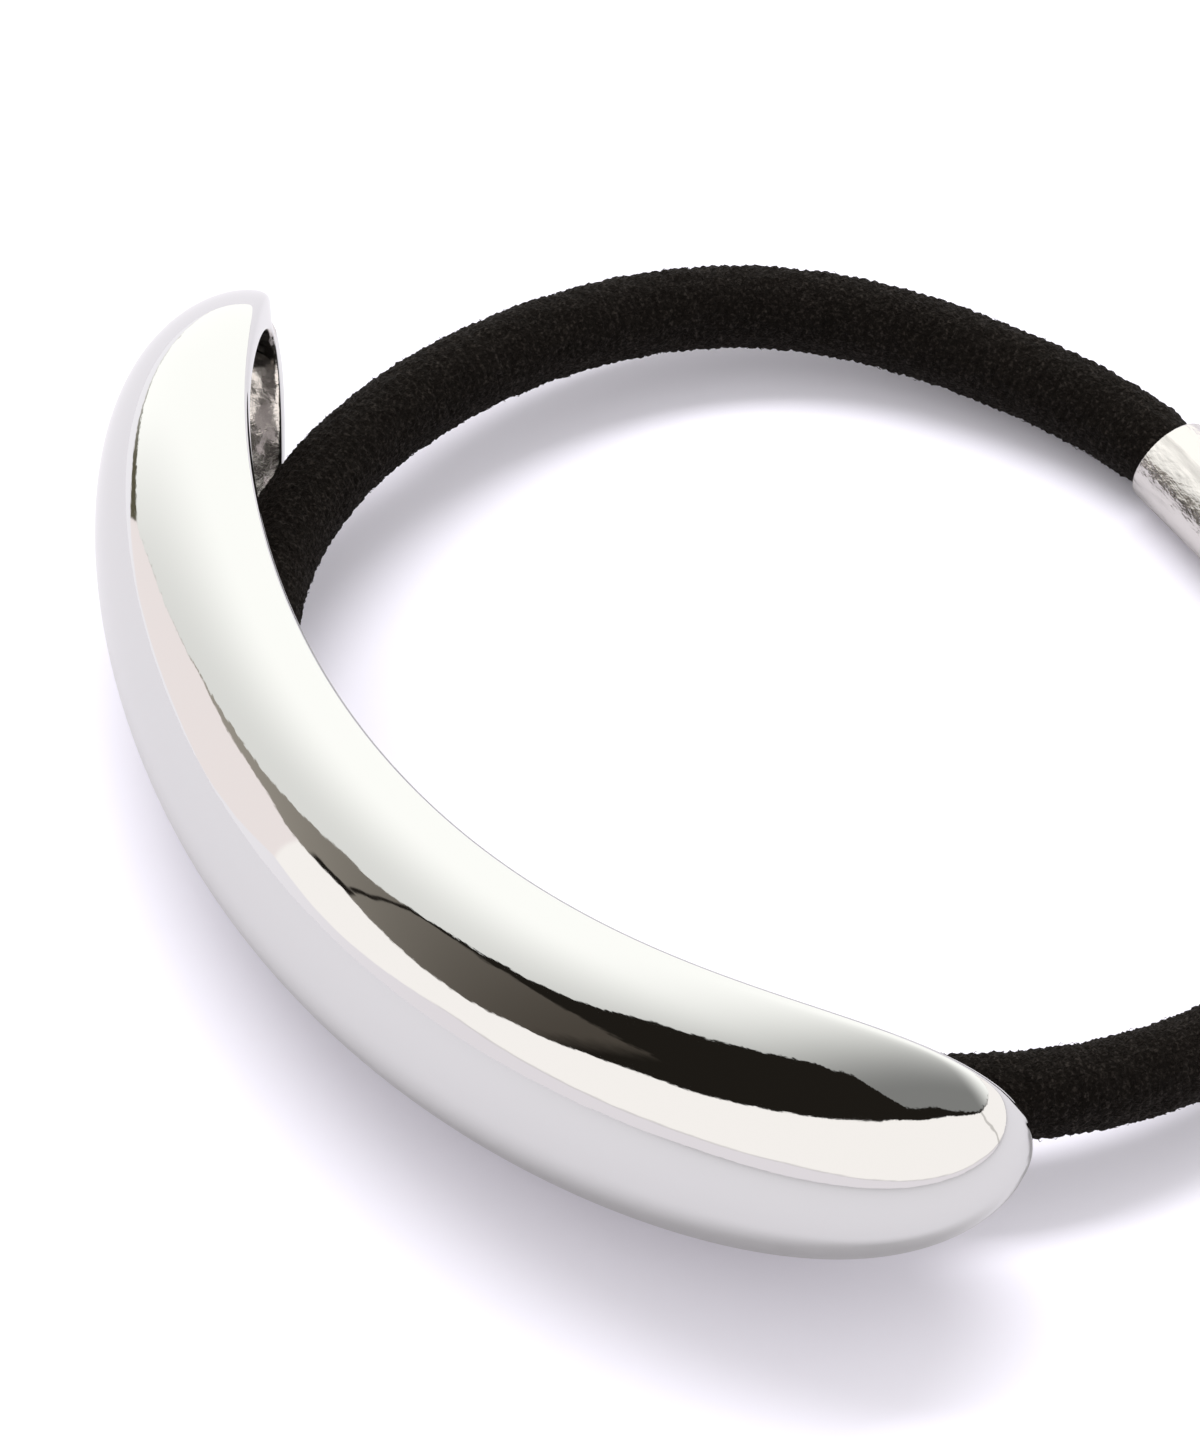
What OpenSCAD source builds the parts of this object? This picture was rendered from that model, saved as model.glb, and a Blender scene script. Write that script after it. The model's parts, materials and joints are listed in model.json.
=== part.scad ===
// A hair tie that lies on its side. A polished metal crescent at the front
// holds a round knitted elastic in its hollow back. A short metal tube at
// the back of the loop joins the elastic's two ends.

/* [Crescent] */
// Radius of the crescent's open back, seen from above
back_r = 39.1; // [38.7:0.1:39.5]
// Angle from the middle of the crescent to each tip
half_angle = 53.8; // [53:0.2:54.6]
// Half of the crescent's height at its middle
half_height = 9.4; // [9.2:0.1:9.8]
// How far the front bulges out from the open back
bulge = 9.5; // [9.3:0.1:10]
// Squareness of the bulge's section, where 2 is an ellipse
squareness = 1.8; // [1.8:0.1:2.2]
// How far the tips flare away from the round of the back
tip_flare = 1.1; // [0.9:0.1:1.3]
// Rounding of the tips' inner corners, seen from above
tip_round = 0.8; // [0.6:0.1:1]
// Lean of the top edge away from the middle of the loop
lean = 6.1; // [5.5:0.1:6.7]
// Thickness of the metal
wall = 1.4; // [1.2:0.1:1.6]
// Solid metal at each tip, beyond the hollow
tip_wall = 2.2; // [1.8:0.1:2.6]
// Rounding of the edge round the open back
edge_round = 0.6; // [0.4:0.1:0.7]

/* [Holding pins] */
// Thickness of the two pins that keep the elastic in the hollow
pin_d = 1.2; // [0.8:0.1:1.2]
// Angle of each pin from the middle of the crescent
pin_angle = 15; // [12:0.5:16]

/* [Elastic] */
// Thickness of the round elastic
cord_d = 4.5; // [4:0.1:4.6]
// Thickness of the elastic where the tube squeezes it
squeezed_d = 4.1; // [3.6:0.1:4.1]
// Fall of the loop from the crescent down to the tube, in degrees
loop_fall = 5.3; // [5:0.1:5.6]

/* [Joiner tube] */
// Outside diameter of the tube
tube_d = 5.2; // [5.1:0.1:5.4]
// Length of the tube
tube_length = 12.5; // [10.5:0.5:12.5]
// Bore of the tube
tube_bore = 4.3; // [4.3:0.1:4.4]

/* [Hidden] */

// How soon height and depth fall away towards the tips
height_hold = 5.7;
height_end = 0.65;
depth_hold = 7.7;
depth_end = 0.66;

// Stations from tip to tip, and points round a section
stations = 44;
bulge_points = 18;
hollow_points = 12;
edge_points = 3;

// Sides of the elastic, and steps along each stretch of its route
cord_sides = 16;
route_steps = 5;
// Gap between the elastic's two ends, in the middle of the tube
end_gap = 0.4;
// Gap between a holding pin's ends and the walls that it stands between
pin_gap = 0.1;
// Length over which the elastic narrows before it enters the tube's mouth
mouth_taper = 1.5;

// Guide points of the elastic's smooth route, seen from above, clockwise
// from the middle of the tube. The centre of the crescent's round is at 0, 0.
// columns: x, y
ROUTE = [
    [5.5, 12.2], [10, 12.2], [14.5, 12.2], [22.5, 8.5], [29.5, 0.5],
    [32.5, -9], [30, -20], [23.5, -29], [17.5, -37.5], [9.5, -43.5],
    [-0.5, -45], [-12, -41.5], [-22, -34], [-27, -23], [-27, -10],
    [-22.5, 1], [-13.5, 8], [-3.5, 12.2], [1, 12.2]
];
tube_x = ROUTE[0][0];
tube_y = ROUTE[0][1];

// A station's place, crowded towards the tips, from -1 to 1
function station(i) = let (s = 2 * i / stations - 1) s * (1.8 - 0.8 * abs(s));
function height_at(t) = pow(1 - pow(abs(t), height_hold), height_end);
function depth_at(t) = pow(1 - pow(abs(t), depth_hold), depth_end);
function power(v, p) = sign(v) * pow(abs(v), p);

// One point of a superellipse of half height h and depth d, at angle a
function oval(h, d, a) = [
    d * power(cos(a), 2 / squareness),
    h * power(sin(a), 2 / squareness)
];

// Section of the bulge from its top edge to its bottom edge, as [out, up].
// Both edges are rounded to r.
function bulge_section(h, d, r) = concat(
    [for (k = [edge_points : -1 : 1]) let (a = 90 * k / edge_points)
        [r * (1 - sin(a)), h - r * (1 - cos(a))]],
    [for (k = [0 : bulge_points])
        let (p = oval(h, d - r, 90 - 180 * k / bulge_points)) [r + p[0], p[1]]],
    [for (k = [1 : edge_points]) let (a = 90 * k / edge_points)
        [r * (1 - sin(a)), r * (1 - cos(a)) - h]]
);
function hollow_section(h, d) =
    [for (k = [0 : hollow_points]) oval(h, d, 90 - 180 * k / hollow_points)];

// A section's points set round the crescent, with the back's middle at 0
function place(t, p) =
    let (r = back_r + tip_flare * pow(t, 4) + tip_round * pow(t, 16) + p[0],
         a = half_angle * t)
    [r * sin(a), back_r - r * cos(a), p[1]];

back_length = 2 * half_angle * PI / 180 * back_r;
hollow_share = 1 - 2 * tip_wall / back_length;

bulge_rows = [for (i = [1 : stations - 1])
    let (t = station(i), h = half_height * height_at(t), d = bulge * depth_at(t),
         r = min(edge_round, h / 3, d / 3))
    [for (p = bulge_section(h, d, r)) place(t, p)]];
hollow_rows = [for (i = [1 : stations - 1])
    let (t = station(i))
    [for (p = hollow_section((half_height - wall) * height_at(t),
                             (bulge - wall) * depth_at(t)))
        place(t * hollow_share, p)]];

function flat(rows) = [for (row = rows) for (p = row) p];
bulge_grid = flat(bulge_rows);
hollow_grid = flat(hollow_rows);
tips = [place(-1, [0, 0]), place(1, [0, 0]),
        place(-hollow_share, [0, 0]), place(hollow_share, [0, 0])];

// Faces of a grid of rows that starts at point `first`, wound either way
function quad(a, b, c, d) = [[a, b, c], [a, c, d]];
function grid_faces(first, rows, n) = [
    for (i = [0 : rows - 2], j = [0 : n - 2], f = quad(
        first + i * n + j, first + i * n + j + 1,
        first + (i + 1) * n + j + 1, first + (i + 1) * n + j)) f];
function fan_faces(tip, first, n) =
    [for (j = [0 : n - 2]) [tip, first + j + 1, first + j]];
function turned(faces) = [for (f = faces) [f[2], f[1], f[0]]];

rows = stations - 1;
bulge_n = bulge_points + 1 + 2 * edge_points;
hollow_n = hollow_points + 1;
hollow_first = rows * bulge_n;
tip_first = hollow_first + rows * hollow_n;

// The flat rim between the bulge's edge and the hollow's edge. Both edges are
// lists of points that run from the left tip to the right one.
function edge_of(first, n, j, left, right) =
    concat([left], [for (i = [0 : rows - 1]) first + i * n + j], [right]);
function rim_faces(outer, inner) = [
    for (i = [0 : rows], f = quad(outer[i], outer[i + 1], inner[i + 1], inner[i])) f];

crescent_faces = concat(
    turned(grid_faces(0, rows, bulge_n)),
    turned(fan_faces(tip_first, 0, bulge_n)),
    fan_faces(tip_first + 1, (rows - 1) * bulge_n, bulge_n),
    grid_faces(hollow_first, rows, hollow_n),
    fan_faces(tip_first + 2, hollow_first, hollow_n),
    turned(fan_faces(tip_first + 3, hollow_first + (rows - 1) * hollow_n, hollow_n)),
    turned(rim_faces(
        edge_of(0, bulge_n, 0, tip_first, tip_first + 1),
        edge_of(hollow_first, hollow_n, 0, tip_first + 2, tip_first + 3))),
    rim_faces(edge_of(0, bulge_n, bulge_n - 1, tip_first, tip_first + 1),
              edge_of(hollow_first, hollow_n, hollow_n - 1, tip_first + 2, tip_first + 3))
);

// Where the leaning crescent rests, and the middle of the whole thing in y
rest_z = -min([for (p = bulge_grid) p[1] * sin(lean) + p[2] * cos(lean)]);
front_y = min([for (p = bulge_grid) p[1] * cos(lean) - p[2] * sin(lean)]) - back_r;
centre_y = (front_y + tube_y + tube_d / 2) / 2;

// The route is a smooth curve that the guide points draw out
function guide(i) = ROUTE[(i + len(ROUTE)) % len(ROUTE)];
function smooth(i, t) = (pow(1 - t, 3) * guide(i - 1)
    + (3 * pow(t, 3) - 6 * pow(t, 2) + 4) * guide(i)
    + (3 * pow(t, 2) - 3 * pow(t, 3) + 3 * t + 1) * guide(i + 1)
    + pow(t, 3) * guide(i + 2)) / 6;
route_inside = [for (i = [0 : len(ROUTE) - 1], k = [0 : route_steps - 1])
    if (i + k > 0) smooth(i, k / route_steps)];
route = concat([[tube_x + end_gap / 2, tube_y]], route_inside,
               [[tube_x - end_gap / 2, tube_y]]);

// Radius of the elastic at a point of the route
function in_tube(p) = p[1] > tube_y - cord_d / 4 ? abs(p[0] - tube_x) : tube_length;
function cord_r(p) =
    let (k = (in_tube(p) - tube_length / 2) / mouth_taper)
    (squeezed_d + (cord_d - squeezed_d) * min(max(k, 0), 1)) / 2;

function heading(i) =
    let (a = route[max(i - 1, 0)], b = route[min(i + 1, len(route) - 1)])
    (b - a) / norm(b - a);
function ring(i) = let (h = heading(i), p = route[i])
    [for (k = [0 : cord_sides - 1]) let (a = 360 * k / cord_sides, r = cord_r(p))
        [p[0] + r * cos(a) * h[1], p[1] - r * cos(a) * h[0], r * sin(a)]];
cord_points = [for (i = [0 : len(route) - 1]) each ring(i)];
cord_faces = concat(
    [for (i = [0 : len(route) - 2], k = [0 : cord_sides - 1], f = quad(
        i * cord_sides + k, i * cord_sides + (k + 1) % cord_sides,
        (i + 1) * cord_sides + (k + 1) % cord_sides, (i + 1) * cord_sides + k)) f],
    [[for (k = [cord_sides - 1 : -1 : 0]) k]],
    [[for (k = [0 : cord_sides - 1]) (len(route) - 1) * cord_sides + k]]
);

// The loop slopes down from the crescent to the tube, which lies on the ground
module on_slope() {
    translate([0, tube_y - centre_y, tube_d / 2]) rotate([-loop_fall, 0, 0])
        translate([0, -tube_y, 0]) children();
}

// Children stand on the crescent's own frame, with the round's centre at 0
module on_crescent() {
    translate([0, -back_r - centre_y, rest_z]) rotate([lean, 0, 0]) children();
}

module crescent() {
    color([0.86, 0.86, 0.88]) on_crescent()
        polyhedron(concat(bulge_grid, hollow_grid, tips), crescent_faces, convexity = 6);
}

module holding_pin(side) {
    // Half height of the hollow as far in as the pin's front
    reach = (half_height - wall)
        * pow(1 - pow(pin_d / (bulge - wall), squareness), 1 / squareness);
    h = 2 * (reach - pin_gap);
    color([0.8, 0.8, 0.82]) on_crescent() translate([0, back_r, 0])
        rotate([0, 0, side * pin_angle]) translate([0, -back_r - pin_d / 2, -h / 2])
            cylinder(d = pin_d, h = h, $fn = 32);
}

module elastic() {
    color([0.09, 0.08, 0.07]) on_slope() polyhedron(cord_points, cord_faces, convexity = 6);
}

module joiner_tube() {
    color([0.8, 0.78, 0.76]) on_slope() translate([tube_x - tube_length / 2, tube_y, 0])
        rotate([0, 90, 0]) difference() {
            cylinder(d = tube_d, h = tube_length, $fn = 64);
            translate([0, 0, -1]) cylinder(d = tube_bore, h = tube_length + 2, $fn = 64);
        }
}

crescent();
holding_pin(-1);  // left_pin
holding_pin(1);  // right_pin
elastic();
joiner_tube();
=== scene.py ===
"""The looks of a hair tie that lies on its side: a mirror-polished metal crescent
that holds a knitted black elastic in its hollow back, two pins that keep the
elastic in, and a short metal tube that joins the elastic's ends.

Lengths are in metres. The frame is the model's own: +X from the crescent's left
tip to its right one, +Y from the crescent across the loop, +Z up.
"""

import json
import math
from types import SimpleNamespace

import bpy
import numpy as np
from mathutils import Matrix, Vector

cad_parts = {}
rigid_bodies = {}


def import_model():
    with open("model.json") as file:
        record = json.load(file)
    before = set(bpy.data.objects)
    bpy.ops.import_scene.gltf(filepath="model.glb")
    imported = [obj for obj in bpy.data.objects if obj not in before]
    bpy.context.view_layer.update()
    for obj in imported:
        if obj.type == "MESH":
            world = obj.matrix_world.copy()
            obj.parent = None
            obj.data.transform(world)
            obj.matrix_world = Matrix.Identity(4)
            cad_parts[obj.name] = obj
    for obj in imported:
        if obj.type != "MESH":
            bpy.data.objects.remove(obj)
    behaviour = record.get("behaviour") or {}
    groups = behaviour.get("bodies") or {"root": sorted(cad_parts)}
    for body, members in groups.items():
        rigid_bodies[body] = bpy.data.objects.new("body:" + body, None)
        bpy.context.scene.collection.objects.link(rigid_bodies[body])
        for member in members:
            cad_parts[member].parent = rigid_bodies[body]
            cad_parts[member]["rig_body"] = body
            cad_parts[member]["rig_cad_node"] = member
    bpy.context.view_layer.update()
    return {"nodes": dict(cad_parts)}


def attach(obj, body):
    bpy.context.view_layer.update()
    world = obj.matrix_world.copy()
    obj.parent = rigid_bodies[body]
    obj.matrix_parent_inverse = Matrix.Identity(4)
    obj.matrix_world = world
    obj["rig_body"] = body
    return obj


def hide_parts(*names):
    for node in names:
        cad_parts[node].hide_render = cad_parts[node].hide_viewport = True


bl_info = {
    "name": "Hair Tie Looks",
    "version": (1, 0, 0),
    "blender": (4, 5, 0),
    "location": "3D View > Sidebar > Hair Tie",
    "description": "Finishes the pieces of a hair tie and lights them on a white table",
    "category": "Object",
}

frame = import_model()
MM = 0.001

# The model's own sizes, as its source has them, in millimetres and degrees
BACK_R = 39.1
HALF_ANGLE = 53.8
HALF_HEIGHT = 9.4
BULGE = 9.5
SQUARENESS = 1.8
WALL = 1.4
TIP_FLARE = 1.1
TIP_ROUND = 0.8
LEAN = 6.1
REST_Z = 9.41054
CENTRE_Y = -16.8731
PIN_D = 1.2
PIN_ANGLE = 15
PIN_GAP = 0.1
TUBE_D = 5.2
TUBE_LENGTH = 12.5
TUBE_BORE = 4.3
LOOP_FALL = 5.3
MOUTH_TAPER = 1.5
END_GAP = 0.4

# Guide points of the elastic's route, seen from above, clockwise from the middle
# of the tube, with the centre of the crescent's round at 0, 0. Columns: x, y
ROUTE = (
    (5.5, 12.2), (10, 12.2), (14.5, 12.2), (22.5, 8.5), (29.5, 0.5),
    (32.5, -9), (30, -20), (23.5, -29), (17.5, -37.5), (9.5, -43.5),
    (-0.5, -45), (-12, -41.5), (-22, -34), (-27, -23), (-27, -10),
    (-22.5, 1), (-13.5, 8), (-3.5, 12.2), (1, 12.2),
)
TUBE_X, TUBE_Y = ROUTE[0]


# Nodes

class Socket:
    """A node's output that takes part in plain arithmetic."""

    def __init__(self, board, socket):
        self.board = board
        self.socket = socket

    def out(self, name):
        """Another output of the same node."""
        return Socket(self.board, self.socket.node.outputs[name])

    def maths(self, operation, *others):
        """A Math node whose first value is this one."""
        return self.board.maths(operation, self, *others)

    def __add__(self, other):
        return self.maths("ADD", other)

    def __sub__(self, other):
        return self.maths("SUBTRACT", other)

    def __rsub__(self, other):
        return self.board.maths("SUBTRACT", other, self)

    def __mul__(self, other):
        return self.maths("MULTIPLY", other)

    def __truediv__(self, other):
        return self.maths("DIVIDE", other)

    def __rtruediv__(self, other):
        return self.board.maths("DIVIDE", other, self)

    def __pow__(self, other):
        return self.maths("POWER", other)

    def __rpow__(self, other):
        return self.board.maths("POWER", other, self)

    def __neg__(self):
        return self.maths("MULTIPLY", -1)

    def __abs__(self):
        return self.maths("ABSOLUTE")

    __radd__ = __add__
    __rmul__ = __mul__

    def step(self, start, end):
        """0 before start and 1 past end, with a smooth change between."""
        return self.board.node(
            "ShaderNodeMapRange", {"interpolation_type": "SMOOTHSTEP"},
            {"Value": self, "From Min": start, "From Max": end})


class Board:
    """The nodes of a material or of the world."""

    def __init__(self, tree):
        self.tree = tree
        tree.nodes.clear()

    def node(self, kind, settings=None, inputs=None, output=0):
        """Adds any node: first its settings, then its sockets' values or links."""
        made = self.tree.nodes.new(kind)
        for key, value in (settings or {}).items():
            if key == "stops":
                self.set_stops(made.color_ramp, value)
            else:
                setattr(made, key, value)
        for key, value in (inputs or {}).items():
            if isinstance(value, Socket):
                self.tree.links.new(value.socket, made.inputs[key])
            else:
                made.inputs[key].default_value = value
        return Socket(self, made.outputs[output]) if made.outputs else made

    def set_stops(self, ramp, stops):
        """Gives a colour ramp these stops, each a place and a colour."""
        while len(ramp.elements) < len(stops):
            ramp.elements.new(0.5)
        for element, (place, colour) in zip(ramp.elements, stops):
            element.position = place
            element.color = (*colour, 1)

    def maths(self, operation, *values):
        """A Math node on numbers or sockets, in their order."""
        return self.node("ShaderNodeMath", {"operation": operation},
                         dict(enumerate(values)))

    def blend(self, factor, first, second):
        """The first colour at a factor of 0, and the second one at 1."""
        first, second = (v if isinstance(v, Socket) else (*v, 1) for v in (first, second))
        return self.node("ShaderNodeMix", {"data_type": "RGBA"},
                         {0: factor, 6: first, 7: second}, output=2)

    def place(self, stretch=(1, 1, 1)):
        """Object coordinates, stretched along the axes."""
        at = self.node("ShaderNodeTexCoord", output="Object")
        return self.node("ShaderNodeMapping", None, {"Vector": at, "Scale": stretch})

    def noise(self, at, scale, detail=2.0, roughness=0.5):
        return self.node("ShaderNodeTexNoise", None,
                         {"Vector": at, "Scale": scale, "Detail": detail,
                          "Roughness": roughness})

    def bump(self, height, distance, strength, under=None):
        """A normal bent by the height, on top of another normal if one is given."""
        inputs = {"Height": height, "Distance": distance, "Strength": strength}
        if under is not None:
            inputs["Normal"] = under
        return self.node("ShaderNodeBump", None, inputs)


def new_finish(name):
    """An empty material and its board."""
    made = bpy.data.materials.new(name)
    made.use_nodes = True
    return made, Board(made.node_tree)


def set_surface(board, **sockets):
    """Ends a material with one shader that has these sockets."""
    named = {key.replace("_", " "): value for key, value in sockets.items()}
    shader = board.node("ShaderNodeBsdfPrincipled", None, named)
    board.node("ShaderNodeOutputMaterial", None, {"Surface": shader})


# Modelling

def clear_selection():
    if bpy.context.mode != "OBJECT":
        bpy.ops.object.mode_set(mode="OBJECT")
    bpy.ops.object.select_all(action="DESELECT")


def make_active(piece):
    clear_selection()
    piece.select_set(True)
    bpy.context.view_layer.objects.active = piece


def edit(piece, how="FACE"):
    """Opens a piece in edit mode with nothing selected."""
    make_active(piece)
    bpy.ops.object.mode_set(mode="EDIT")
    bpy.ops.mesh.select_mode(type=how)
    bpy.ops.mesh.select_all(action="DESELECT")


def edit_some(piece, how, chosen):
    """Opens a piece in edit mode with only the chosen points or faces selected."""
    edit(piece, how)
    bpy.ops.object.mode_set(mode="OBJECT")
    for element in piece.data.vertices if how == "VERT" else piece.data.polygons:
        element.select = chosen(element)
    bpy.ops.object.mode_set(mode="EDIT")


def settle(piece):
    """Puts the piece's place, turn and size into its mesh."""
    make_active(piece)
    bpy.ops.object.transform_apply(location=True, rotation=True, scale=True)


def apply_modifier(piece, kind, **settings):
    make_active(piece)
    made = piece.modifiers.new(kind.title(), kind)
    for key, value in settings.items():
        setattr(made, key, value)
    bpy.ops.object.modifier_apply(modifier=made.name)


def new_piece(name, mesh):
    piece = bpy.data.objects.new(name, mesh)
    bpy.context.scene.collection.objects.link(piece)
    return piece


def finish_piece(piece, materials, slot, *nodes):
    """Gives a piece its materials, lets it ride and hides the model's parts that it stands
    for.
    """
    piece.data.materials.clear()
    for material in materials:
        piece.data.materials.append(material)
    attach(piece, "root")
    if nodes:
        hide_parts(*nodes)


def crescent_matrix():
    """From the crescent's own frame, centred on the middle of its open back."""
    return (Matrix.Translation((0, (-BACK_R - CENTRE_Y) * MM, REST_Z * MM))
            @ Matrix.Rotation(math.radians(LEAN), 4, "X"))


# Settings

class CrescentSettings(bpy.types.PropertyGroup):
    colour: bpy.props.FloatVectorProperty(
        name="Metal colour", description="Colour of the polished metal",
        subtype="COLOR", size=3, min=0, max=1, default=(0.66, 0.66, 0.66))
    polish: bpy.props.FloatProperty(
        name="Polish", description="Roughness of the polished outside",
        min=0, max=1, default=0.018)
    hollow_colour: bpy.props.FloatVectorProperty(
        name="Hollow colour", description="Colour of the unpolished hollow",
        subtype="COLOR", size=3, min=0, max=1, default=(0.74, 0.705, 0.68))
    hollow_roughness: bpy.props.FloatProperty(
        name="Hollow roughness", description="Roughness of the unpolished hollow",
        min=0, max=1, default=0.1)
    inner_edge: bpy.props.FloatProperty(
        name="Inner edge", description="Rounding of the hollow's edge",
        subtype="DISTANCE", unit="LENGTH", min=0.0001, max=0.0004, default=0.00025)
    worn_tip: bpy.props.FloatProperty(
        name="Worn tip", description="Degrees of each tip that polishing has rounded",
        min=0, max=4, default=1.8)


class PinSettings(bpy.types.PropertyGroup):
    colour: bpy.props.FloatVectorProperty(
        name="Pin colour", description="Colour of the two pins",
        subtype="COLOR", size=3, min=0, max=1, default=(0.7, 0.7, 0.7))
    foot: bpy.props.FloatProperty(
        name="Foot", description="How far a pin's soldered foot rises",
        subtype="DISTANCE", unit="LENGTH", min=0.0006, max=0.0018, default=0.0012)


class ElasticSettings(bpy.types.PropertyGroup):
    diameter: bpy.props.FloatProperty(
        name="Diameter", description="Thickness of the elastic",
        subtype="DISTANCE", unit="LENGTH", min=0.003, max=0.006, default=0.0045)
    squeezed: bpy.props.FloatProperty(
        name="Squeezed diameter", description="Thickness inside the joiner tube",
        subtype="DISTANCE", unit="LENGTH", min=0.003, max=0.0043, default=0.0041)
    colour: bpy.props.FloatVectorProperty(
        name="Yarn colour", description="Colour of the yarn",
        subtype="COLOR", size=3, min=0, max=1, default=(0.0037, 0.0027, 0.0021))
    wales: bpy.props.IntProperty(
        name="Wales", description="Columns of stitches round the elastic",
        min=12, max=48, default=27)
    knit_depth: bpy.props.FloatProperty(
        name="Knit depth", description="How far the stitches stand out",
        subtype="DISTANCE", unit="LENGTH", min=0, max=0.0003, default=0.0003)
    fibres: bpy.props.IntProperty(
        name="Fibres", description="Number of loose fibres that make it fuzzy",
        min=0, max=19000, default=15000)
    fibre_length: bpy.props.FloatProperty(
        name="Fibre length", description="Usual length of a loose fibre",
        subtype="DISTANCE", unit="LENGTH", min=0.0001, max=0.0008, default=0.00022)


class TubeSettings(bpy.types.PropertyGroup):
    colour: bpy.props.FloatVectorProperty(
        name="Tube colour", description="Colour of the joiner tube",
        subtype="COLOR", size=3, min=0, max=1, default=(0.7, 0.674, 0.66))
    edge: bpy.props.FloatProperty(
        name="Edge", description="Rounding of the tube's mouths",
        subtype="DISTANCE", unit="LENGTH", min=0.00005, max=0.0002, default=0.00016)


class StageSettings(bpy.types.PropertyGroup):
    camera: bpy.props.FloatVectorProperty(
        name="Camera", description="Where the camera stands",
        subtype="XYZ", unit="LENGTH", size=3,
        default=(0.1842299, -0.1473930, 0.3276519))
    target: bpy.props.FloatVectorProperty(
        name="Target", description="What the camera looks at",
        subtype="XYZ", unit="LENGTH", size=3, default=(-0.0066849, -0.0051932, 0))
    lens: bpy.props.FloatProperty(
        name="Lens", description="Focal length in millimetres",
        min=50, max=300, default=188.74)
    table_colour: bpy.props.FloatVectorProperty(
        name="Table colour", description="Colour of the white table",
        subtype="COLOR", size=3, min=0, max=1, default=(0.92, 0.895, 1.0))
    # Painted shade: per channel, how much darker than the table the copy is that only the
    # metal mirrors
    painted_mirror_shade: bpy.props.FloatVectorProperty(
        name="Mirrored shade", description="Share of that colour that the metal mirrors",
        size=3, min=0, max=1, default=(0.75, 0.75, 0.72))
    mirrored_end: bpy.props.FloatVectorProperty(
        name="Mirrored end", description="Where the table seen in the metal ends",
        subtype="XYZ", unit="LENGTH", size=2, default=(-0.072, -0.05))
    mirrored_slant: bpy.props.FloatProperty(
        name="Mirrored slant", description="Slant of the mirrored table's end",
        subtype="ANGLE", unit="ROTATION", default=math.radians(23))
    softbox: bpy.props.FloatProperty(
        name="Softbox", description="Brightness of the white softbox",
        min=0, max=5, default=1.12)
    key_place: bpy.props.FloatVectorProperty(
        name="Key place", description="Where the key light hangs",
        subtype="XYZ", unit="LENGTH", size=3, default=(-0.275, 0.140, 0.693))
    key_width: bpy.props.FloatProperty(
        name="Key width", description="Width of the key light, across the view",
        subtype="DISTANCE", unit="LENGTH", min=0.01, max=2, default=0.9)
    key_depth: bpy.props.FloatProperty(
        name="Key depth", description="Depth of the key light",
        subtype="DISTANCE", unit="LENGTH", min=0.01, max=2, default=0.2)
    key_power: bpy.props.FloatProperty(
        name="Key power", description="Power of the key light, in watts",
        min=0, max=50, default=3.8)


# Stage

# Edges of what the crescent mirrors, in degrees. Columns: azimuth from the front
# towards +X, then the heights at which the table, the walls and the dark room end
HORIZON = (
    (-180, -16, 8, 8), (-165, -20, -20, -20), (-120, -14, -14, -14),
    (-100, -11, -11, -10.8), (-88, -11, -11, -10.2), (-80, -10.8, -10.8, -9),
    (-72, -11, -11, -7.8), (-67.5, -12, -12, -7.5), (-66.5, -12.5, -8, -8),
    (-60, -13, -1, -1), (-54, -11.5, 5, 5), (-48, -11, 11, 11.8),
    (-42, -10.5, 13, 17), (-37, -8, 15, 20.5), (-31, -2, 14, 27.5),
    (-25, -3, 16, 31), (-20, -2, 15, 36.7), (-14, 1, 14.5, 40.8), (-8, 4, 15.5, 44.8),
    (0, 4, 21, 56), (9, 4.5, 27, 61), (20, 6, 30.5, 65), (38, 8, 37, 69),
    (60, 6, 41.5, 70), (84, 4, 42, 66), (97, 3, 39.5, 47), (116, 2, 35, 41),
    (139, 0, 20.5, 21.5), (158, -8, 14, 14), (180, -16, 8, 8),
)
# A colour ramp holds each height as a share of this span above the lowest one
LOWEST, SPAN = -40, 120

# Colours of the room. Where there are two, the first one is to the left
SOFTBOX_WHITE = (1.32, 1.325, 1.27)
ROOM_BROWN = (0.42, 0.385, 0.33), (0.085, 0.072, 0.058)
ROOM_OLIVE = (0.8, 0.8, 0.74), (0.12, 0.11, 0.07)
ROOM_BLACK = (0.016, 0.0135, 0.0105)
WALL_CREAM = (1.09, 1.0, 0.98), (1.22, 1.175, 1.13)
TABLE_LAVENDER = (1.1, 1.08, 1.12), (0.98, 0.93, 0.965)
SEAM_GREY = (0.45, 0.43, 0.4)
EVEN_WHITE = (1.0, 1.0, 0.965)
EVEN_SHARE = 0.6

# The dark room's black parts, in degrees from the zenith: above a line towards -Y,
# past a slanted line towards +X, and in a slanted beam. A slant is in degrees
# towards -X for each one towards -Y, and both start from the same one
ABOVE_END = 50.3
RIGHT_PLACE, RIGHT_SLANT = 10.8, 0.41
BEAM_PLACE, BEAM_SLANT = -20.6, 0.61
SLANT_FROM = 51
# The walls' corner: its azimuth, and the degrees it turns for each one of height
CORNER_PLACE, CORNER_SLANT = 131, 0.35

# The table's side and how far it lies under the hair tie, in metres
TABLE_SIZE = 12
TABLE_DROP = 0.00002


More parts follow.
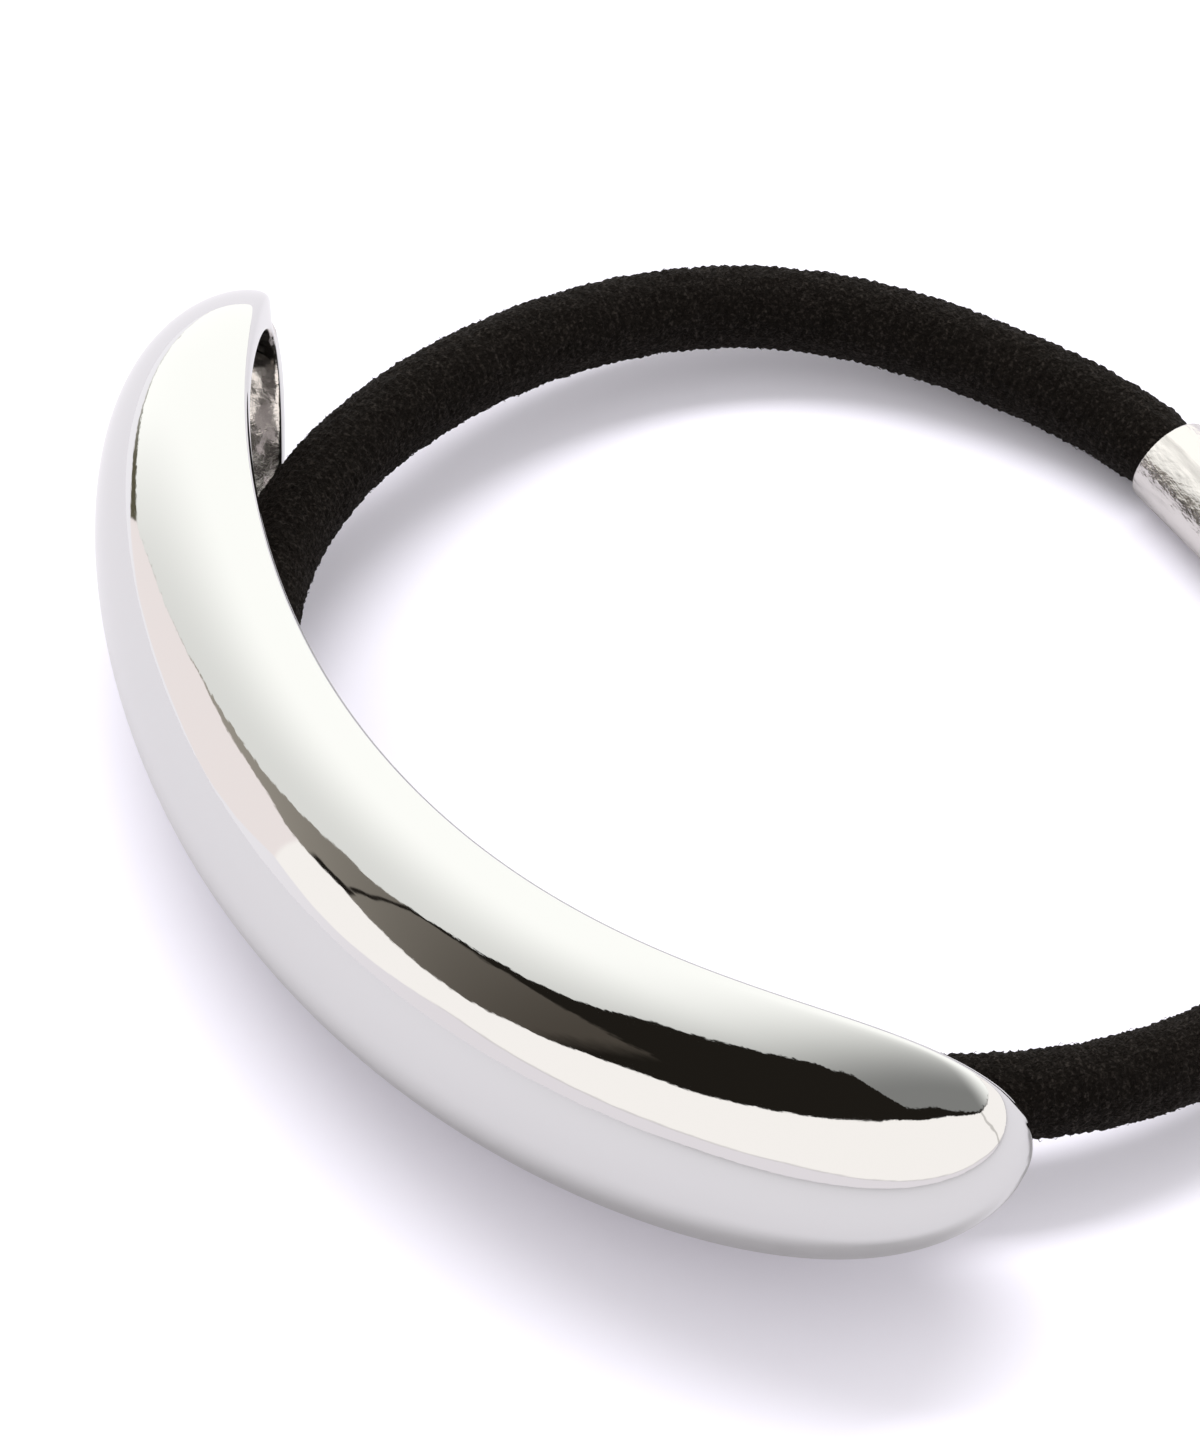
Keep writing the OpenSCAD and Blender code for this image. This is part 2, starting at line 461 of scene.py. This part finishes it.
def room_directions(board):
    """Which way a ray leaves the scene: how much of it points to +X, from -1 to 1,
    and in degrees its azimuth from the front towards +X, its height, and how far it
    is from the zenith towards +X and towards -Y. Three noises, each around 0, make
    the edges of things uneven."""
    way = board.node("ShaderNodeTexCoord", output="Generated")
    x = board.node("ShaderNodeSeparateXYZ", None, {"Vector": way})
    y, z = x.out("Y"), x.out("Z")
    level = (x * x + y * y + 1e-9) ** 0.5
    degrees = 180 / math.pi
    height = z.maths("ARCTAN2", level) * degrees
    return SimpleNamespace(
        x=x, height=height, azimuth=x.maths("ARCTAN2", -y) * degrees,
        across=(90 - height) * x / level, ahead=-((90 - height) * y / level),
        wavy=board.noise(way, 6) - 0.5,
        jagged=board.noise(way, 22, detail=5.0, roughness=0.6) - 0.5,
        frayed=board.noise(way, 75, detail=3.0, roughness=0.6) - 0.5)


def room_edges(board, way):
    """The heights at which the table, the walls and the dark room end there."""
    stops = [((azimuth + 180) / 360, [(end - LOWEST) / SPAN for end in ends])
             for azimuth, *ends in HORIZON]
    ramp = board.node("ShaderNodeValToRGB", {"stops": stops},
                      {"Fac": way.azimuth / 360 + 0.5})
    ends = board.node("ShaderNodeSeparateColor", None, {"Color": ramp})
    table_end, wall_end, dark_end = (
        end * SPAN + LOWEST for end in (ends, ends.out("Green"), ends.out("Blue")))
    return (table_end + way.wavy * 1.5,
            wall_end + way.wavy * 1.5 + way.jagged * 2 + way.frayed * 1.5,
            dark_end + way.wavy * 2.5 + way.jagged * 4 + way.frayed * 3)


# In the next three functions, a step's two numbers are degrees, except for way.x

def softbox_tone(board, way):
    """The white softbox, greyer towards the front and the right."""
    front = 1 - way.ahead.step(12, 52) * 0.3
    right = 1 - way.across.step(-20, 35) * 0.8 * way.ahead.step(-78, -52)
    return board.blend(front * right, (0.0, 0.0, 0.0), SOFTBOX_WHITE)


def dark_tone(board, way, wall_end, dark_end):
    """The dark room: olive at the far left, then brown, and black to the right and
    above, with a black beam that runs on along the walls and the softbox."""
    across, ahead, azimuth = way.across, way.ahead, way.azimuth
    brown = board.blend(across.step(-62, 4), *ROOM_BROWN)
    olive = board.blend(azimuth.step(-91.67, -71.62), *ROOM_OLIVE)
    brown = board.blend(azimuth.step(-61.88, -58.44), olive, brown)
    lower = ahead - SLANT_FROM
    above = (ahead - ABOVE_END - way.jagged * 5).step(1.2, -0.4) * across.step(-34, -26)
    right = across - RIGHT_PLACE + lower * RIGHT_SLANT + way.jagged * 4
    right = right.step(-7, 0.5)
    beam = abs(across - BEAM_PLACE + lower * BEAM_SLANT + way.wavy * 4)
    beam = beam.step(0.8, 0.3) * ahead.step(66, 64)
    along_wall = (way.height - wall_end).step(2.8, 2.0)
    along_wall = along_wall * azimuth.step(-29.5, -28.5) * azimuth.step(-23.4, -24)
    along_softbox = (dark_end - way.height).step(2.4, 1.5) * azimuth.step(-23.4, -22.8)
    black = above
    for part in (right, beam, along_wall, along_softbox):
        black = black.maths("MAXIMUM", part)
    return board.blend(black, brown, ROOM_BLACK)


def lit_tone(board, way, table_end):
    """Cream walls over a lavender table, with thin grey seams between them and in
    the walls' corner."""
    above = way.height - table_end
    cream = board.blend(way.azimuth.step(-31.2, -30.4), *WALL_CREAM)
    table = board.blend(way.x.step(-0.8, -0.1), *TABLE_LAVENDER)
    lit = board.blend(above.step(-0.4, 0.4), table, cream)
    joint = abs(above).step(0.7, 0.2) * way.azimuth.step(-14, -4) * 0.3
    corner = abs(way.azimuth - CORNER_PLACE - way.height * CORNER_SLANT + way.wavy * 8)
    seam = joint.maths("MAXIMUM", corner.step(1.6, 0.6) * 0.6)
    return board.blend(seam, lit, SEAM_GREY)


def studio_light(board, softbox):
    """What the polished metal mirrors, by direction: a white softbox overhead and
    behind, a dark room at the front, and cream walls down to the table."""
    way = room_directions(board)
    table_end, wall_end, dark_end = room_edges(board, way)
    room = board.blend((way.height - wall_end).step(-0.35, 0.35),
                       lit_tone(board, way, table_end),
                       dark_tone(board, way, wall_end, dark_end))
    room = board.blend((way.height - dark_end).step(-0.35, 0.35), room,
                       softbox_tone(board, way))
    # Seen straight by the camera, the room is plain white
    seen = board.node("ShaderNodeLightPath", output="Is Camera Ray")
    colour = board.blend(seen, room, (1, 1, 1))
    # The table and the yarn are lit by a more even room
    diffuse = board.node("ShaderNodeLightPath", output="Is Diffuse Ray")
    colour = board.blend(diffuse * EVEN_SHARE, colour, EVEN_WHITE)
    light = board.node("ShaderNodeBackground", None, {"Color": colour, "Strength": softbox})
    board.node("ShaderNodeOutputWorld", None, {"Surface": light})


def table_finish(colour):
    material, board = new_finish("white_table")
    set_surface(board, Base_Color=(*colour, 1), Roughness=0.9, Specular_IOR_Level=0.1)
    return material


def add_camera(context, s):
    clear_selection()
    bpy.ops.object.camera_add(location=s.camera)
    camera = context.active_object
    camera.name = "camera"
    look = Vector(s.target) - Vector(s.camera)
    camera.rotation_euler = look.to_track_quat("-Z", "Y").to_euler()
    camera.data.lens = s.lens
    camera.data.sensor_width = 36
    camera.data.clip_start, camera.data.clip_end = 0.01, 20
    context.scene.camera = camera


def add_table(context, name, colour, place, turn=0):
    clear_selection()
    bpy.ops.mesh.primitive_plane_add(size=TABLE_SIZE, location=place, rotation=(0, 0, turn))
    table = context.active_object
    table.name = name
    table.data.materials.append(table_finish(colour))
    return table


def add_tables(context, s):
    """The table, and apart from it a darker copy of it that only the metal mirrors, which
    ends on a slant past the left tip: its darker colour is painted shade in the table's
    reflection."""
    table = add_table(context, "table", s.table_colour, (0, 0, -TABLE_DROP))
    table.visible_glossy = False
    place = (s.mirrored_end[0] + TABLE_SIZE / 2 * math.cos(s.mirrored_slant),
             s.mirrored_end[1] + TABLE_SIZE / 2 * math.sin(s.mirrored_slant),
             -TABLE_DROP / 2)
    # Painted shade in the reflection: the mirrored table has the table's colour, darkened
    shade = [c * k for c, k in zip(s.table_colour, s.painted_mirror_shade)]
    near = add_table(context, "mirrored_table", shade, place, s.mirrored_slant)
    near.visible_camera = near.visible_diffuse = near.visible_shadow = False


def add_key_light(context, s):
    """A light wide across the view and narrow in depth, as a strip light is."""
    clear_selection()
    bpy.ops.object.light_add(type="AREA", location=s.key_place)
    key = context.active_object
    key.name = "key_light"
    key.data.shape = "ELLIPSE"
    key.data.size, key.data.size_y = s.key_width, s.key_depth
    key.data.energy = s.key_power
    key.visible_glossy = False
    key.rotation_euler = (-key.location).to_track_quat("-Z", "Y").to_euler()


class HAIRTIE_OT_stage(bpy.types.Operator):
    """Sets the camera, the white table and the studio's light"""

    bl_idname = "hairtie.stage"
    bl_label = "Stage"

    def execute(self, context):
        s = context.scene.hairtie_stage
        add_camera(context, s)
        add_tables(context, s)
        add_key_light(context, s)
        world = context.scene.world or bpy.data.worlds.new("studio")
        context.scene.world = world
        world.use_nodes = True
        studio_light(Board(world.node_tree), s.softbox)
        context.scene.view_settings.view_transform = "Standard"
        return {"FINISHED"}


# Crescent

# Edges sharper than this, in degrees, are rounded: they are the hollow's
HOLLOW_EDGE = 48
# A face is the hollow's when it is this many millimetres past the line of the rim
# and looks back at that line, with a cosine below this one
HOLLOW_START, HOLLOW_COSINE = 0.1, -0.3


def polished_metal(s):
    """Mirror polish with a faint ripple, a few hairlines and smudges."""
    material, board = new_finish("polished_metal")
    at = board.place()
    ripple = board.noise(at, 260, detail=1.0)
    hairlines = board.noise(board.place((1, 1, 14)), 900, roughness=0.7)
    smudge = board.noise(at, 90, detail=4.0, roughness=0.6)
    normal = board.bump(ripple, distance=0.00001, strength=0.5)
    normal = board.bump(hairlines, distance=0.0000012, strength=0.25, under=normal)
    set_surface(board, Base_Color=(*s.colour, 1), Metallic=1.0,
                Roughness=s.polish + smudge.step(0.45, 0.8) * 0.03, Normal=normal)
    return material


def hollow_metal(s):
    """The unpolished inside: plated over the grain of the casting."""
    material, board = new_finish("hollow_metal")
    at = board.place()
    grain = board.noise(at, 1500, detail=4.0, roughness=0.6)
    dips = board.noise(at, 420)
    set_surface(board, Base_Color=(*s.hollow_colour, 1), Metallic=1.0,
                Roughness=s.hollow_roughness + grain * 0.2,
                Normal=board.bump(grain * 0.15 + dips, distance=0.0004, strength=0.8))
    return material


def copy_crescent():
    """A copy of the model's own crescent, with its loose triangles joined."""
    make_active(frame["nodes"]["crescent"])
    bpy.ops.object.duplicate()
    piece = bpy.context.active_object
    piece.name = "polished_crescent"
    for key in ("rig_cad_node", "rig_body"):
        del piece[key]
    edit(piece)
    bpy.ops.mesh.select_all(action="SELECT")
    bpy.ops.mesh.remove_doubles(threshold=2e-6)
    bpy.ops.mesh.tris_convert_to_quads(face_threshold=math.pi, shape_threshold=math.pi)
    return piece


def round_hollow_edge(width):
    """Rounds the sharp edges of the piece that is in edit mode."""
    bpy.ops.mesh.select_all(action="DESELECT")
    bpy.ops.mesh.select_mode(type="EDGE")
    bpy.ops.mesh.edges_select_sharp(sharpness=math.radians(HOLLOW_EDGE))
    bpy.ops.mesh.bevel(offset=width, segments=2, affect="EDGES")


def wear_tips(piece, back, worn):
    """Smooths the last degrees of both tips, as polishing wears their corners."""
    def in_tip(point):
        at = back @ point.co
        turn = math.degrees(math.atan2(abs(at.x), BACK_R * MM - at.y))
        return turn > HALF_ANGLE - worn

    edit_some(piece, "VERT", in_tip)
    bpy.ops.mesh.vertices_smooth(factor=0.5, repeat=2)
    bpy.ops.object.mode_set(mode="OBJECT")


def mark_hollow(piece, back):
    """Gives the second material to the faces that look into the hollow."""
    for face in piece.data.polygons:
        at = back @ face.center
        facing = back.to_3x3() @ face.normal
        reach = Vector((at.x, at.y - BACK_R * MM))
        share = abs(math.atan2(at.x, -reach.y)) / math.radians(HALF_ANGLE)
        rim = (BACK_R + TIP_FLARE * share ** 4 + TIP_ROUND * share ** 16) * MM
        out = reach.normalized() * (reach.length - rim)
        away = Vector((*out, at.z))
        face.material_index = int(reach.length - rim > HOLLOW_START * MM
                                  and facing.dot(away) < HOLLOW_COSINE * away.length)


class HAIRTIE_OT_crescent(bpy.types.Operator):
    """Makes the polished crescent from the model's own, with smooth faces"""

    bl_idname = "hairtie.crescent"
    bl_label = "Crescent"

    def execute(self, context):
        s = context.scene.hairtie_crescent
        back = crescent_matrix().inverted()
        piece = copy_crescent()
        round_hollow_edge(s.inner_edge)
        wear_tips(piece, back, s.worn_tip)
        finish_piece(piece, [polished_metal(s), hollow_metal(s)], "polished_metal",
                     "crescent")
        mark_hollow(piece, back)
        apply_modifier(piece, "SUBSURF", levels=2, render_levels=2)
        bpy.ops.object.shade_smooth()
        return {"FINISHED"}


# Pins

# Steps of a pin's soldered foot. Columns: share of its rise, spread
FOOT_STEPS = ((1 / 2, 1.05), (1 / 3, 1.12), (1 / 6, 1.12))


def pin_metal(s):
    """Drawn wire, with lines along it."""
    material, board = new_finish("pin_metal")
    drawn = board.noise(board.place((1, 1, 0.05)), 4000)
    set_surface(board, Base_Color=(*s.colour, 1), Metallic=1.0,
                Roughness=0.25 + drawn * 0.2,
                Normal=board.bump(drawn, distance=0.00001, strength=0.5))
    return material


def add_feet(pin, radius, rise):
    """Draws both ends out to a foot that grows into the hollow and leaves the pin's
    back almost straight."""
    for end in (-1, 1):
        for share, spread in FOOT_STEPS:
            edit_some(pin, "FACE", lambda face: face.normal.z * end > 0.9)
            bpy.ops.mesh.extrude_region_move(TRANSFORM_OT_translate={
                "value": (0, (1 - spread) * radius, share * rise * end)})
            bpy.ops.transform.resize(value=(spread, spread, 1))
    bpy.ops.object.mode_set(mode="OBJECT")


class HAIRTIE_OT_pins(bpy.types.Operator):
    """Models the two holding pins, each with a soldered foot at both ends"""

    bl_idname = "hairtie.pins"
    bl_label = "Holding pins"

    def execute(self, context):
        s = context.scene.hairtie_pins
        metal = pin_metal(s)
        radius = PIN_D / 2 * MM
        # Half the hollow's height where the pin's front is, along its oval
        reach = (HALF_HEIGHT - WALL) * (
            1 - (PIN_D / (BULGE - WALL)) ** SQUARENESS) ** (1 / SQUARENESS)
        half = (reach - PIN_GAP) * MM
        for side, name in ((-1, "left_pin"), (1, "right_pin")):
            clear_selection()
            bpy.ops.mesh.primitive_cylinder_add(
                vertices=32, radius=radius, depth=2 * (half - s.foot))
            pin = context.active_object
            pin.name = name + "_soldered"
            add_feet(pin, radius, s.foot)
            apply_modifier(pin, "BEVEL", width=0.00008, segments=2, limit_method="ANGLE",
                           angle_limit=math.radians(50))
            bpy.ops.object.shade_smooth_by_angle(angle=math.radians(50))
            pin.matrix_world = (
                crescent_matrix() @ Matrix.Translation((0, BACK_R * MM, 0))
                @ Matrix.Rotation(math.radians(side * PIN_ANGLE), 4, "Z")
                @ Matrix.Translation((0, (-BACK_R - PIN_D / 2) * MM, 0)))
            settle(pin)
            finish_piece(pin, [metal], "pin_metal", name)
        return {"FINISHED"}


# Elastic

# How far from the tube's line the route still counts as near it, in millimetres
NEAR_TUBE = 1.1
# Rings of points along the elastic, and points round each
RINGS, SIDES = 1160, 84
# How far the V of a stitch leans, in stitches
STITCH_SLANT = 0.3
# Shares of the knit's depth in its ribs, its uneven loops and its yarn
RIB, LUMP, GRAIN = 0.35, 0.45, 0.3
# Half a fibre's thickness, and how deep its foot is in the yarn, in metres
FIBRE_RADIUS = 0.00002
FIBRE_SINK = 0.00003


def route_points(steps):
    """The route's smooth curve as `steps` points an equal way apart, first in the
    frame and then flat, in millimetres."""
    guide = np.array(ROUTE, float)
    # A cubic B-spline, with 40 points for each guide point
    t = np.linspace(0, 1, 40, endpoint=False)[:, None]
    weights = ((1 - t) ** 3, 3 * t ** 3 - 6 * t ** 2 + 4,
               3 * t ** 2 - 3 * t ** 3 + 3 * t + 1, t ** 3)
    points = np.vstack([
        sum(w * guide[(i + k - 1) % len(guide)] for k, w in enumerate(weights)) / 6
        for i in range(len(guide))])
    # The points in the gap between the cut ends give way to the ends themselves
    first, last = [[TUBE_X + END_GAP / 2, TUBE_Y]], [[TUBE_X - END_GAP / 2, TUBE_Y]]
    points = np.vstack([first, points[2:-1], last])
    along = np.r_[0, np.cumsum(np.linalg.norm(np.diff(points, axis=0), axis=1))]
    wanted = np.linspace(0, along[-1], steps)
    flat = np.stack([np.interp(wanted, along, points[:, k]) for k in (0, 1)], 1)
    fall = math.radians(LOOP_FALL)
    back = flat[:, 1] - TUBE_Y
    return np.stack([flat[:, 0], back * math.cos(fall) + TUBE_Y - CENTRE_Y,
                     TUBE_D / 2 - back * math.sin(fall)], 1) * MM, flat


def loop_frame(steps):
    """Points of the route with the directions ahead, sideways and up there, and the
    fullness of the elastic, from 0 in the tube to 1 outside it."""
    points, flat = route_points(steps)
    ahead = np.gradient(points, axis=0)
    ahead /= np.linalg.norm(ahead, axis=1)[:, None]
    fall = math.radians(LOOP_FALL)
    up = np.array([0, math.sin(fall), math.cos(fall)])
    # Only the tube's side of the loop is near it, whatever the x elsewhere
    near_tube = flat[:, 1] > TUBE_Y - NEAR_TUBE
    from_middle = np.where(near_tube, np.abs(flat[:, 0] - TUBE_X), TUBE_LENGTH)
    full = np.clip((from_middle - TUBE_LENGTH / 2) / MOUTH_TAPER, 0, 1)
    return SimpleNamespace(points=points, ahead=ahead, side=np.cross(ahead, up), up=up,
                           full=full)


def between(values, row, col):
    """A grid's values at rows and columns between its own, eased from one to the
    next, where the last column meets the first."""
    r0, c0 = np.floor(row).astype(int), np.floor(col).astype(int)
    c1 = (c0 + 1) % values.shape[1]
    down, over = (part * part * (3 - 2 * part) for part in (row - r0, col - c0))
    return ((values[r0, c0] * (1 - over) + values[r0, c1] * over) * (1 - down)
            + (values[r0 + 1, c0] * (1 - over) + values[r0 + 1, c1] * over) * down)


def knit_relief(s, random, courses):
    """How far each point of the knit stands out, in shares of its depth."""
    u, v = np.meshgrid(np.arange(SIDES) / SIDES, np.arange(RINGS) / (RINGS - 1))
    arm = np.abs((u * s.wales) % 1 - 0.5) * 2
    rib = 0.5 - 0.5 * np.cos(2 * math.pi * (v * courses + STITCH_SLANT * arm))
    lump = between(random.random((courses + 2, s.wales)), v * courses, u * s.wales)
    grain = random.random((RINGS, SIDES))
    return RIB * rib + LUMP * lump + GRAIN * grain


def tube_mesh(name, place):
    """A closed tube of rings of points, with a cap at each end and a UV map that
    runs round it in u and along it in v."""
    rings, sides = place.shape[:2]
    i, j = np.meshgrid(np.arange(rings - 1), np.arange(sides), indexing="ij")
    a, b = i * sides + j, i * sides + (j + 1) % sides
    quads = np.stack([a, b, b + sides, a + sides], 2).reshape(-1, 4)
    caps = [list(range(sides))[::-1], list(range((rings - 1) * sides, rings * sides))]
    mesh = bpy.data.meshes.new(name)
    mesh.from_pydata(place.reshape(-1, 3).tolist(), [], quads.tolist() + caps)
    u = np.stack([j, j + 1, j + 1, j], 2).reshape(-1, 4) / sides
    v = np.stack([i, i, i + 1, i + 1], 2).reshape(-1, 4) / (rings - 1)
    uv = np.zeros((len(mesh.loops), 2), np.float32)
    uv[:quads.size] = np.stack([u.ravel(), v.ravel()], 1)
    mesh.uv_layers.new(name="along").data.foreach_set("uv", uv.ravel())
    mesh.validate()
    return mesh


def knitted_yarn(s, courses):
    """Black yarn in fine V stitches, with painted shade in the gaps between its stitches
    and tufts, paler in random patches.
    """
    material, board = new_finish("knitted_elastic")
    uv = board.node("ShaderNodeUVMap", {"uv_map": "along"})
    u = board.node("ShaderNodeSeparateXYZ", None, {"Vector": uv})
    v = u.out("Y")
    arm = (u * s.wales).maths("PINGPONG", 0.5) * 2
    course = v * courses + arm * STITCH_SLANT
    leg = course.maths("PINGPONG", 0.5) * 2
    at = board.place()
    tuft = board.noise(at, 2400, detail=3.0, roughness=0.75).step(0.3, 0.7)
    stitch = (leg.step(0.05, 0.75) * arm.step(0.0, 0.35) * 0.4 + 0.6) * (tuft * 0.7 + 0.3)
    hair = board.noise(at, 9000, detail=3.0, roughness=0.7)
    patch = board.noise(at, 160)
    # Painted shade: the gaps between the stitches and tufts get a darker colour than the
    # yarn, as shade in the knit's recesses
    painted_gap_shade = tuple(c * 0.75 for c in s.colour)
    pale = tuple(min(1, c * 2.2 + 0.002) for c in s.colour)
    colour = board.blend(stitch, painted_gap_shade, board.blend(patch, s.colour, pale))
    # Flecks of yarn ends: their much paler colour is a painted glint, and their coat gives
    # them a real shine
    painted_glint_fleck = board.noise(at, 5200, roughness=0.6).step(0.5, 0.68) * stitch
    colour = board.blend(painted_glint_fleck, colour, tuple(c * 5 + 0.0045 for c in s.colour))
    set_surface(board, Base_Color=colour, Roughness=0.6 + hair * 0.2,
                Coat_Weight=painted_glint_fleck * 0.2, Coat_Roughness=0.4,
                Specular_IOR_Level=0.04, Sheen_Weight=0.03, Sheen_Roughness=0.5,
                Sheen_Tint=(0.8, 0.72, 0.66, 1),
                Normal=board.bump(stitch + hair * 0.4, distance=0.00018, strength=0.9))
    return material


def fibre_finish(s):
    """The yarn's black, a little paler from fibre to fibre."""
    material, board = new_finish("loose_fibres")
    shade = board.noise(board.place(), 700, detail=1.0)
    colour = board.blend(shade.step(0.4, 0.75), s.colour,
                         tuple(c * 2.5 + 0.005 for c in s.colour))
    set_surface(board, Base_Color=colour, Roughness=0.6, Specular_IOR_Level=0.1)
    return material


def fibre_points(s, random, loop, radius):
    """Seven points for each fibre: three round its foot, three round its middle,
    and its tip. Each lies along the yarn in a direction of its own."""
    at = random.choice(np.flatnonzero(loop.full > 0.99), s.fibres)
    turn = random.random(s.fibres) * 2 * math.pi
    out = np.cos(turn)[:, None] * loop.side[at] + np.sin(turn)[:, None] * loop.up
    spin = random.random(s.fibres) * 2 * math.pi
    lie = (np.cos(spin)[:, None] * loop.ahead[at]
           + np.sin(spin)[:, None] * np.cross(loop.ahead[at], out))
    size = s.fibre_length * (0.45 + random.random(s.fibres) ** 3 * 1.6)[:, None]
    rise = (0.25 + 0.6 * random.random(s.fibres) ** 2)[:, None]
    foot = loop.points[at] + out * (radius.mean(1)[at] - FIBRE_SINK)[:, None]
    middle = foot + size * 0.5 * (lie * 0.75 + out * rise)
    tip = middle + size * 0.5 * (lie - out * (rise - 0.35))
    cross = np.cross(lie, out)
    rings = [centre + width * (math.cos(a) * cross + math.sin(a) * out)
             for centre, width in ((foot, FIBRE_RADIUS * 1.2), (middle, FIBRE_RADIUS))
             for a in (2 * math.pi * k / 3 for k in range(3))]
    return np.stack(rings + [tip], 1)


def add_fibres(s, random, loop, radius):
    """Thin closed spikes of three sides that bend over the yarn."""
    place = fibre_points(s, random, loop, radius)
    faces = [(2, 1, 0)] + [(3 + k, 3 + (k + 1) % 3, 6) for k in range(3)]
    for k in range(3):
        beside = (k + 1) % 3
        faces += [(k, beside, 3 + beside), (k, 3 + beside, 3 + k)]
    first = place.shape[1] * np.arange(s.fibres)[:, None, None]
    mesh = bpy.data.meshes.new("loose_fibres")
    mesh.from_pydata(place.reshape(-1, 3).tolist(), [],
                     (np.array(faces)[None] + first).reshape(-1, 3).tolist())
    fuzz = new_piece("loose_fibres", mesh)
    finish_piece(fuzz, [fibre_finish(s)], "knitted_elastic")
    edit(fuzz)
    bpy.ops.mesh.select_all(action="SELECT")
    bpy.ops.mesh.normals_make_consistent(inside=False)
    bpy.ops.object.mode_set(mode="OBJECT")


class HAIRTIE_OT_elastic(bpy.types.Operator):
    """Knits the elastic along its whole route and adds its loose fibres"""

    bl_idname = "hairtie.elastic"
    bl_label = "Elastic"

    def execute(self, context):
        s = context.scene.hairtie_elastic
        random = np.random.default_rng(7)
        loop = loop_frame(RINGS)
        length = float(np.linalg.norm(np.diff(loop.points, axis=0), axis=1).sum())
        courses = round(length / (math.pi * s.diameter / s.wales))
        full = loop.full[:, None]
        # The relief lies around the elastic's own radius, half of it on each side
        relief = knit_relief(s, random, courses) - (RIB + LUMP + GRAIN) / 2
        radius = (s.squeezed + (s.diameter - s.squeezed) * full) / 2
        radius = radius + relief * s.knit_depth * full
        angle = 2 * math.pi * np.arange(SIDES)[None, :, None] / SIDES
        out = np.cos(angle) * loop.side[:, None, :] + np.sin(angle) * loop.up
        mesh = tube_mesh("knitted_elastic",
                         loop.points[:, None, :] + radius[:, :, None] * out)
        piece = new_piece("knitted_elastic", mesh)
        finish_piece(piece, [knitted_yarn(s, courses)], "knitted_elastic", "elastic")
        make_active(piece)
        bpy.ops.object.shade_smooth()
        add_fibres(s, random, loop, radius)
        return {"FINISHED"}


# Joiner tube

def satin_metal(s):
    """Satin metal with scratches along the tube, pits and worn, greyer streaks."""
    material, board = new_finish("satin_metal")
    brushed = board.noise(board.place((0.06, 1, 1)), 5200, detail=3.0, roughness=0.65)
    streak = board.noise(board.place((0.12, 1, 1)), 900, detail=4.0, roughness=0.7)
    pits = board.noise(board.place((0.6, 1, 1)), 1900, detail=3.0, roughness=0.6)
    worn = streak.step(0.5, 0.72)
    colour = board.blend(worn, s.colour, tuple(c * 0.72 for c in s.colour))
    normal = board.bump(brushed, distance=0.000012, strength=0.6)
    normal = board.bump(pits, distance=0.00016, strength=0.6, under=normal)
    set_surface(board, Base_Color=colour, Metallic=1.0,
                Roughness=0.13 + brushed * 0.1 + worn * 0.1, Normal=normal)
    return material


class HAIRTIE_OT_joiner_tube(bpy.types.Operator):
    """Models the joiner tube with its bore and rounded mouths"""

    bl_idname = "hairtie.joiner_tube"
    bl_label = "Joiner tube"

    def execute(self, context):
        s = context.scene.hairtie_tube
        clear_selection()
        bpy.ops.mesh.primitive_cylinder_add(
            vertices=96, radius=TUBE_BORE / 2 * MM, depth=TUBE_LENGTH * MM,
            end_fill_type="NOTHING", rotation=(0, math.pi / 2, 0),
            location=(TUBE_X * MM, (TUBE_Y - CENTRE_Y) * MM, TUBE_D / 2 * MM))
        piece = context.active_object
        piece.name = "joiner_tube_satin"
        settle(piece)
        apply_modifier(piece, "SOLIDIFY", thickness=(TUBE_D - TUBE_BORE) / 2 * MM,
                       offset=1, use_even_offset=True)
        apply_modifier(piece, "BEVEL", width=s.edge, segments=4, limit_method="ANGLE",
                       angle_limit=math.radians(60))
        bpy.ops.object.shade_smooth_by_angle(angle=math.radians(40))
        finish_piece(piece, [satin_metal(s)], "satin_metal", "joiner_tube")
        return {"FINISHED"}


# Panel

OPERATORS = (HAIRTIE_OT_stage, HAIRTIE_OT_crescent, HAIRTIE_OT_pins,
             HAIRTIE_OT_elastic, HAIRTIE_OT_joiner_tube)
SETTINGS = {
    "hairtie_stage": StageSettings,
    "hairtie_crescent": CrescentSettings,
    "hairtie_pins": PinSettings,
    "hairtie_elastic": ElasticSettings,
    "hairtie_tube": TubeSettings,
}


class HAIRTIE_PT_panel(bpy.types.Panel):
    """Lists the hair tie's pieces and their sizes and colours"""

    bl_idname = "HAIRTIE_PT_panel"
    bl_label = "Hair Tie"
    bl_space_type = "VIEW_3D"
    bl_region_type = "UI"
    bl_category = "Hair Tie"

    def draw(self, context):
        for operator, name in zip(OPERATORS, SETTINGS):
            box = self.layout.box()
            box.operator(operator.bl_idname)
            group = getattr(context.scene, name)
            for key in group.__annotations__:
                box.prop(group, key)


def register():
    for kind in (*SETTINGS.values(), *OPERATORS, HAIRTIE_PT_panel):
        bpy.utils.register_class(kind)
    for name, kind in SETTINGS.items():
        setattr(bpy.types.Scene, name, bpy.props.PointerProperty(type=kind))


def unregister():
    for name in SETTINGS:
        delattr(bpy.types.Scene, name)
    for kind in (HAIRTIE_PT_panel, *reversed(OPERATORS), *SETTINGS.values()):
        bpy.utils.unregister_class(kind)


def main():
    register()
    bpy.ops.hairtie.stage()
    bpy.ops.hairtie.crescent()
    bpy.ops.hairtie.pins()
    bpy.ops.hairtie.elastic()
    bpy.ops.hairtie.joiner_tube()
    clear_selection()


if __name__ == "__main__":
    main()
